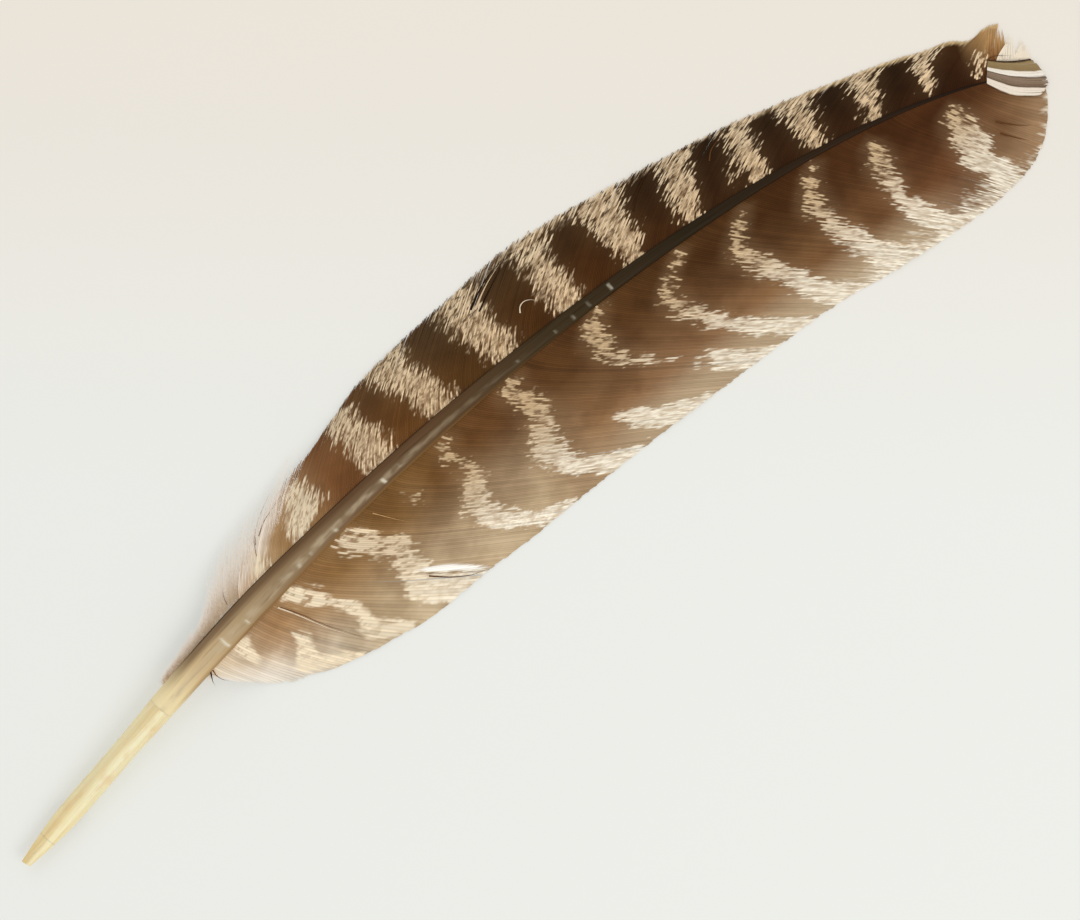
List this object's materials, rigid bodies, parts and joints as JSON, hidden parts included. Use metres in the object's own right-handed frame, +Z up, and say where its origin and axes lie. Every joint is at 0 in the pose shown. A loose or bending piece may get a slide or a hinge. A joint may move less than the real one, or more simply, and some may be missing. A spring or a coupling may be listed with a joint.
{
  "type": "quill pen",
  "caption": "Barred wing feather cut as a quill pen: hollow barrel with a split writing point underneath, curved shaft, narrow leading vane and broad trailing vane.",
  "frame": {"origin": "centre of the pen's outline, on the table that it rests on", "axes": "+X along the straight line from the writing point to the feather's tip, +Y towards the narrow leading vane, +Z up from the table, out of the feather's upper side"},
  "size_m": [0.3686, 0.0776, 0.0129],
  "materials": {
    "barrel_keratin": "satin",
    "pulp_membrane": "matte",
    "shaft_keratin": "satin",
    "pith": "matte",
    "leading_barbs": "satin",
    "trailing_barbs": "satin",
    "down": "matte",
    "white_barbs": "matte"
  },
  "bodies": {
    "feather": {"barrel": "barrel_keratin", "pulp_caps": "pulp_membrane", "rachis_cortex": "shaft_keratin", "rachis_pith": "pith", "leading_web_1": "leading_barbs", "leading_web_2": "leading_barbs", "leading_web_3": "leading_barbs", "leading_web_4": "leading_barbs", "leading_web_5": "leading_barbs", "leading_web_6": "leading_barbs", "trailing_web_1": "trailing_barbs", "trailing_web_2": "trailing_barbs", "trailing_web_3": "trailing_barbs", "trailing_web_4": "trailing_barbs", "trailing_web_5": "trailing_barbs", "trailing_web_6": "trailing_barbs", "trailing_web_7": "trailing_barbs", "leading_down": "down", "trailing_down": "down", "tip_bent_barbs": "white_barbs"},
    "leading_tine": {"leading_tine": "barrel_keratin"},
    "trailing_tine": {"trailing_tine": "barrel_keratin"}
  },
  "joints": [
    {"name": "leading_tine_spread", "type": "hinge", "parent": "feather", "child": "leading_tine", "pos_m": [-0.17484, -0.00717, 0.0025], "axis": [0.0687, 0.0121, -0.9976], "range_deg": [0, 1.6], "stiffness_Nm_per_rad": 0.005},
    {"name": "trailing_tine_spread", "type": "hinge", "parent": "feather", "child": "trailing_tine", "pos_m": [-0.17393, -0.01234, 0.0025], "axis": [-0.0687, -0.0121, 0.9976], "range_deg": [0, 1.6], "stiffness_Nm_per_rad": 0.005}
  ],
  "couplings": [
    {"joint": "trailing_tine_spread", "follows": "leading_tine_spread", "ratio": 1}
  ]
}
